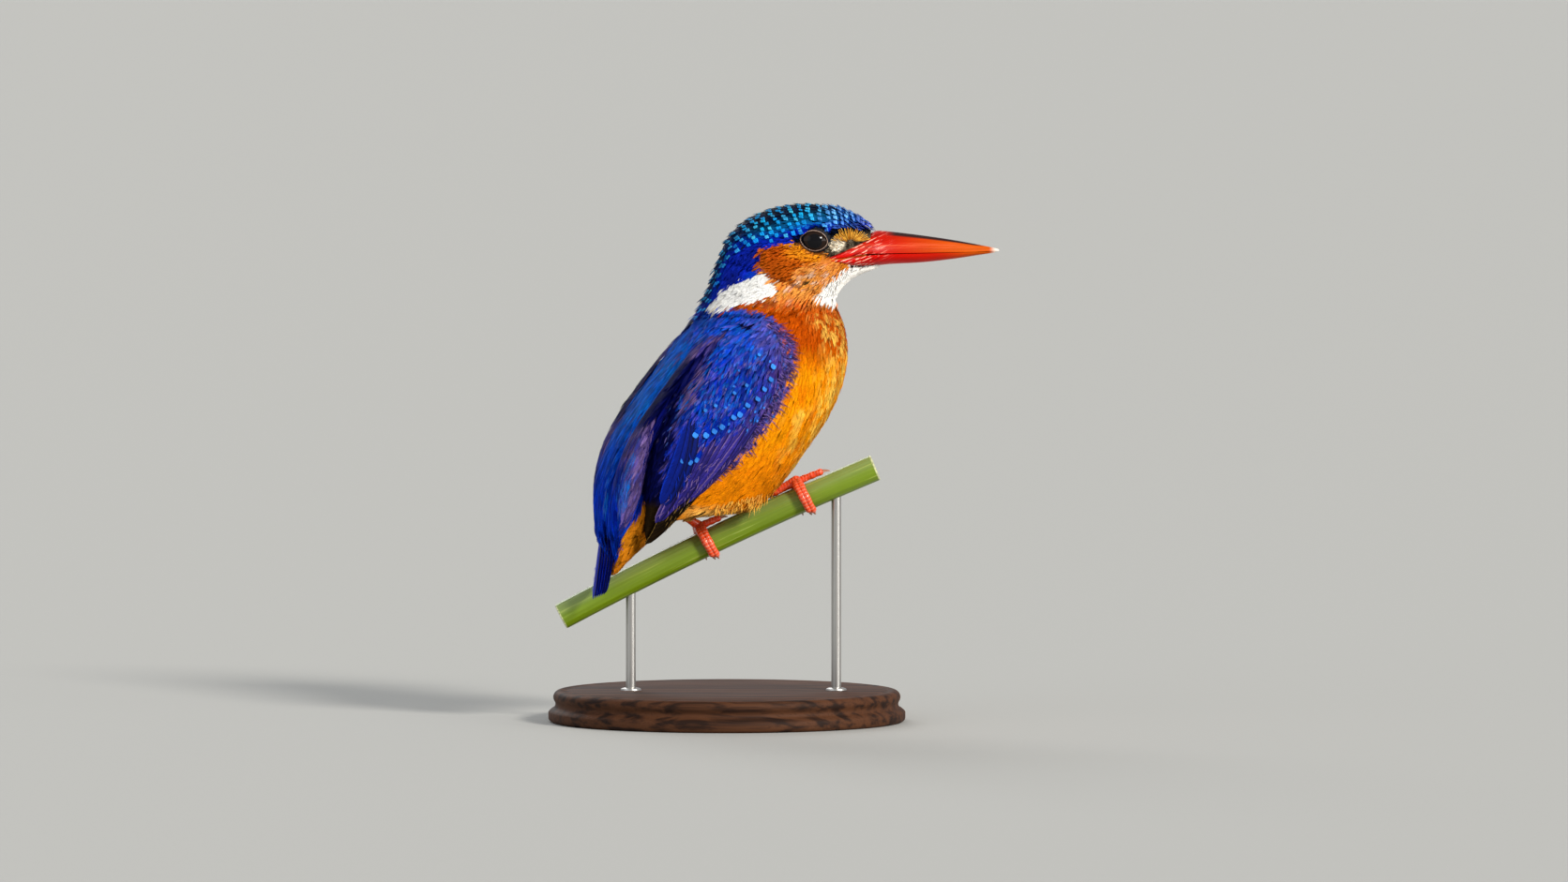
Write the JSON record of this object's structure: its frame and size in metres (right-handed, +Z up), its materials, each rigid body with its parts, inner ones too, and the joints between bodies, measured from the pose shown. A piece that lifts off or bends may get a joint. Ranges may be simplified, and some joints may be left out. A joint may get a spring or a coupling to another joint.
{
  "type": "kingfisher model on a display stand",
  "caption": "Life-size still model of a small perched kingfisher on a cut plant stem, held on a round base by slim rods.",
  "frame": {"origin": "middle of the stand's underside", "axes": "+X is where the bill points, +Y is the bird's left, +Z is up"},
  "size_m": [0.1009, 0.08, 0.1161],
  "materials": {
    "crown_plumage": "fine blue and turquoise feather",
    "neck_plumage": "fine orange, white and blue feather",
    "breast_plumage": "soft orange feather",
    "thigh_plumage": "soft buff feather",
    "covert_plumage": "blue feather above and orange below",
    "back_plumage": "glossy cobalt feather",
    "wing_plumage": "glossy violet-blue feather with pale blue spots",
    "tail_plumage": "glossy dark blue feather",
    "bill_horn": "smooth glossy red horn",
    "eye_gloss": "high gloss dark brown",
    "foot_skin": "satin scaled coral red skin",
    "claw_horn": "smooth dark horn",
    "green_stem": "smooth green plant stem",
    "turned_wood": "turned and waxed dark wood",
    "steel_rod": "fine brushed"
  },
  "bodies": {
    "root": {"head": "crown_plumage", "neck": "neck_plumage", "trunk": "breast_plumage", "thigh_left": "thigh_plumage", "thigh_right": "thigh_plumage", "tail_coverts": "covert_plumage", "scapulars_left": "back_plumage", "scapulars_right": "back_plumage", "wing_left": "wing_plumage", "wing_right": "wing_plumage", "tail": "tail_plumage", "bill_upper": "bill_horn", "bill_lower": "bill_horn", "eye_left": "eye_gloss", "eye_right": "eye_gloss", "foot_left": "foot_skin", "foot_right": "foot_skin", "claw_left_outer": "claw_horn", "claw_left_middle": "claw_horn", "claw_left_inner": "claw_horn", "claw_left_hind": "claw_horn", "claw_right_outer": "claw_horn", "claw_right_middle": "claw_horn", "claw_right_inner": "claw_horn", "claw_right_hind": "claw_horn", "perch_stem": "green_stem", "stand_base": "turned_wood", "stand_rod_rear": "steel_rod", "stand_rod_front": "steel_rod"}
  },
  "joints": []
}
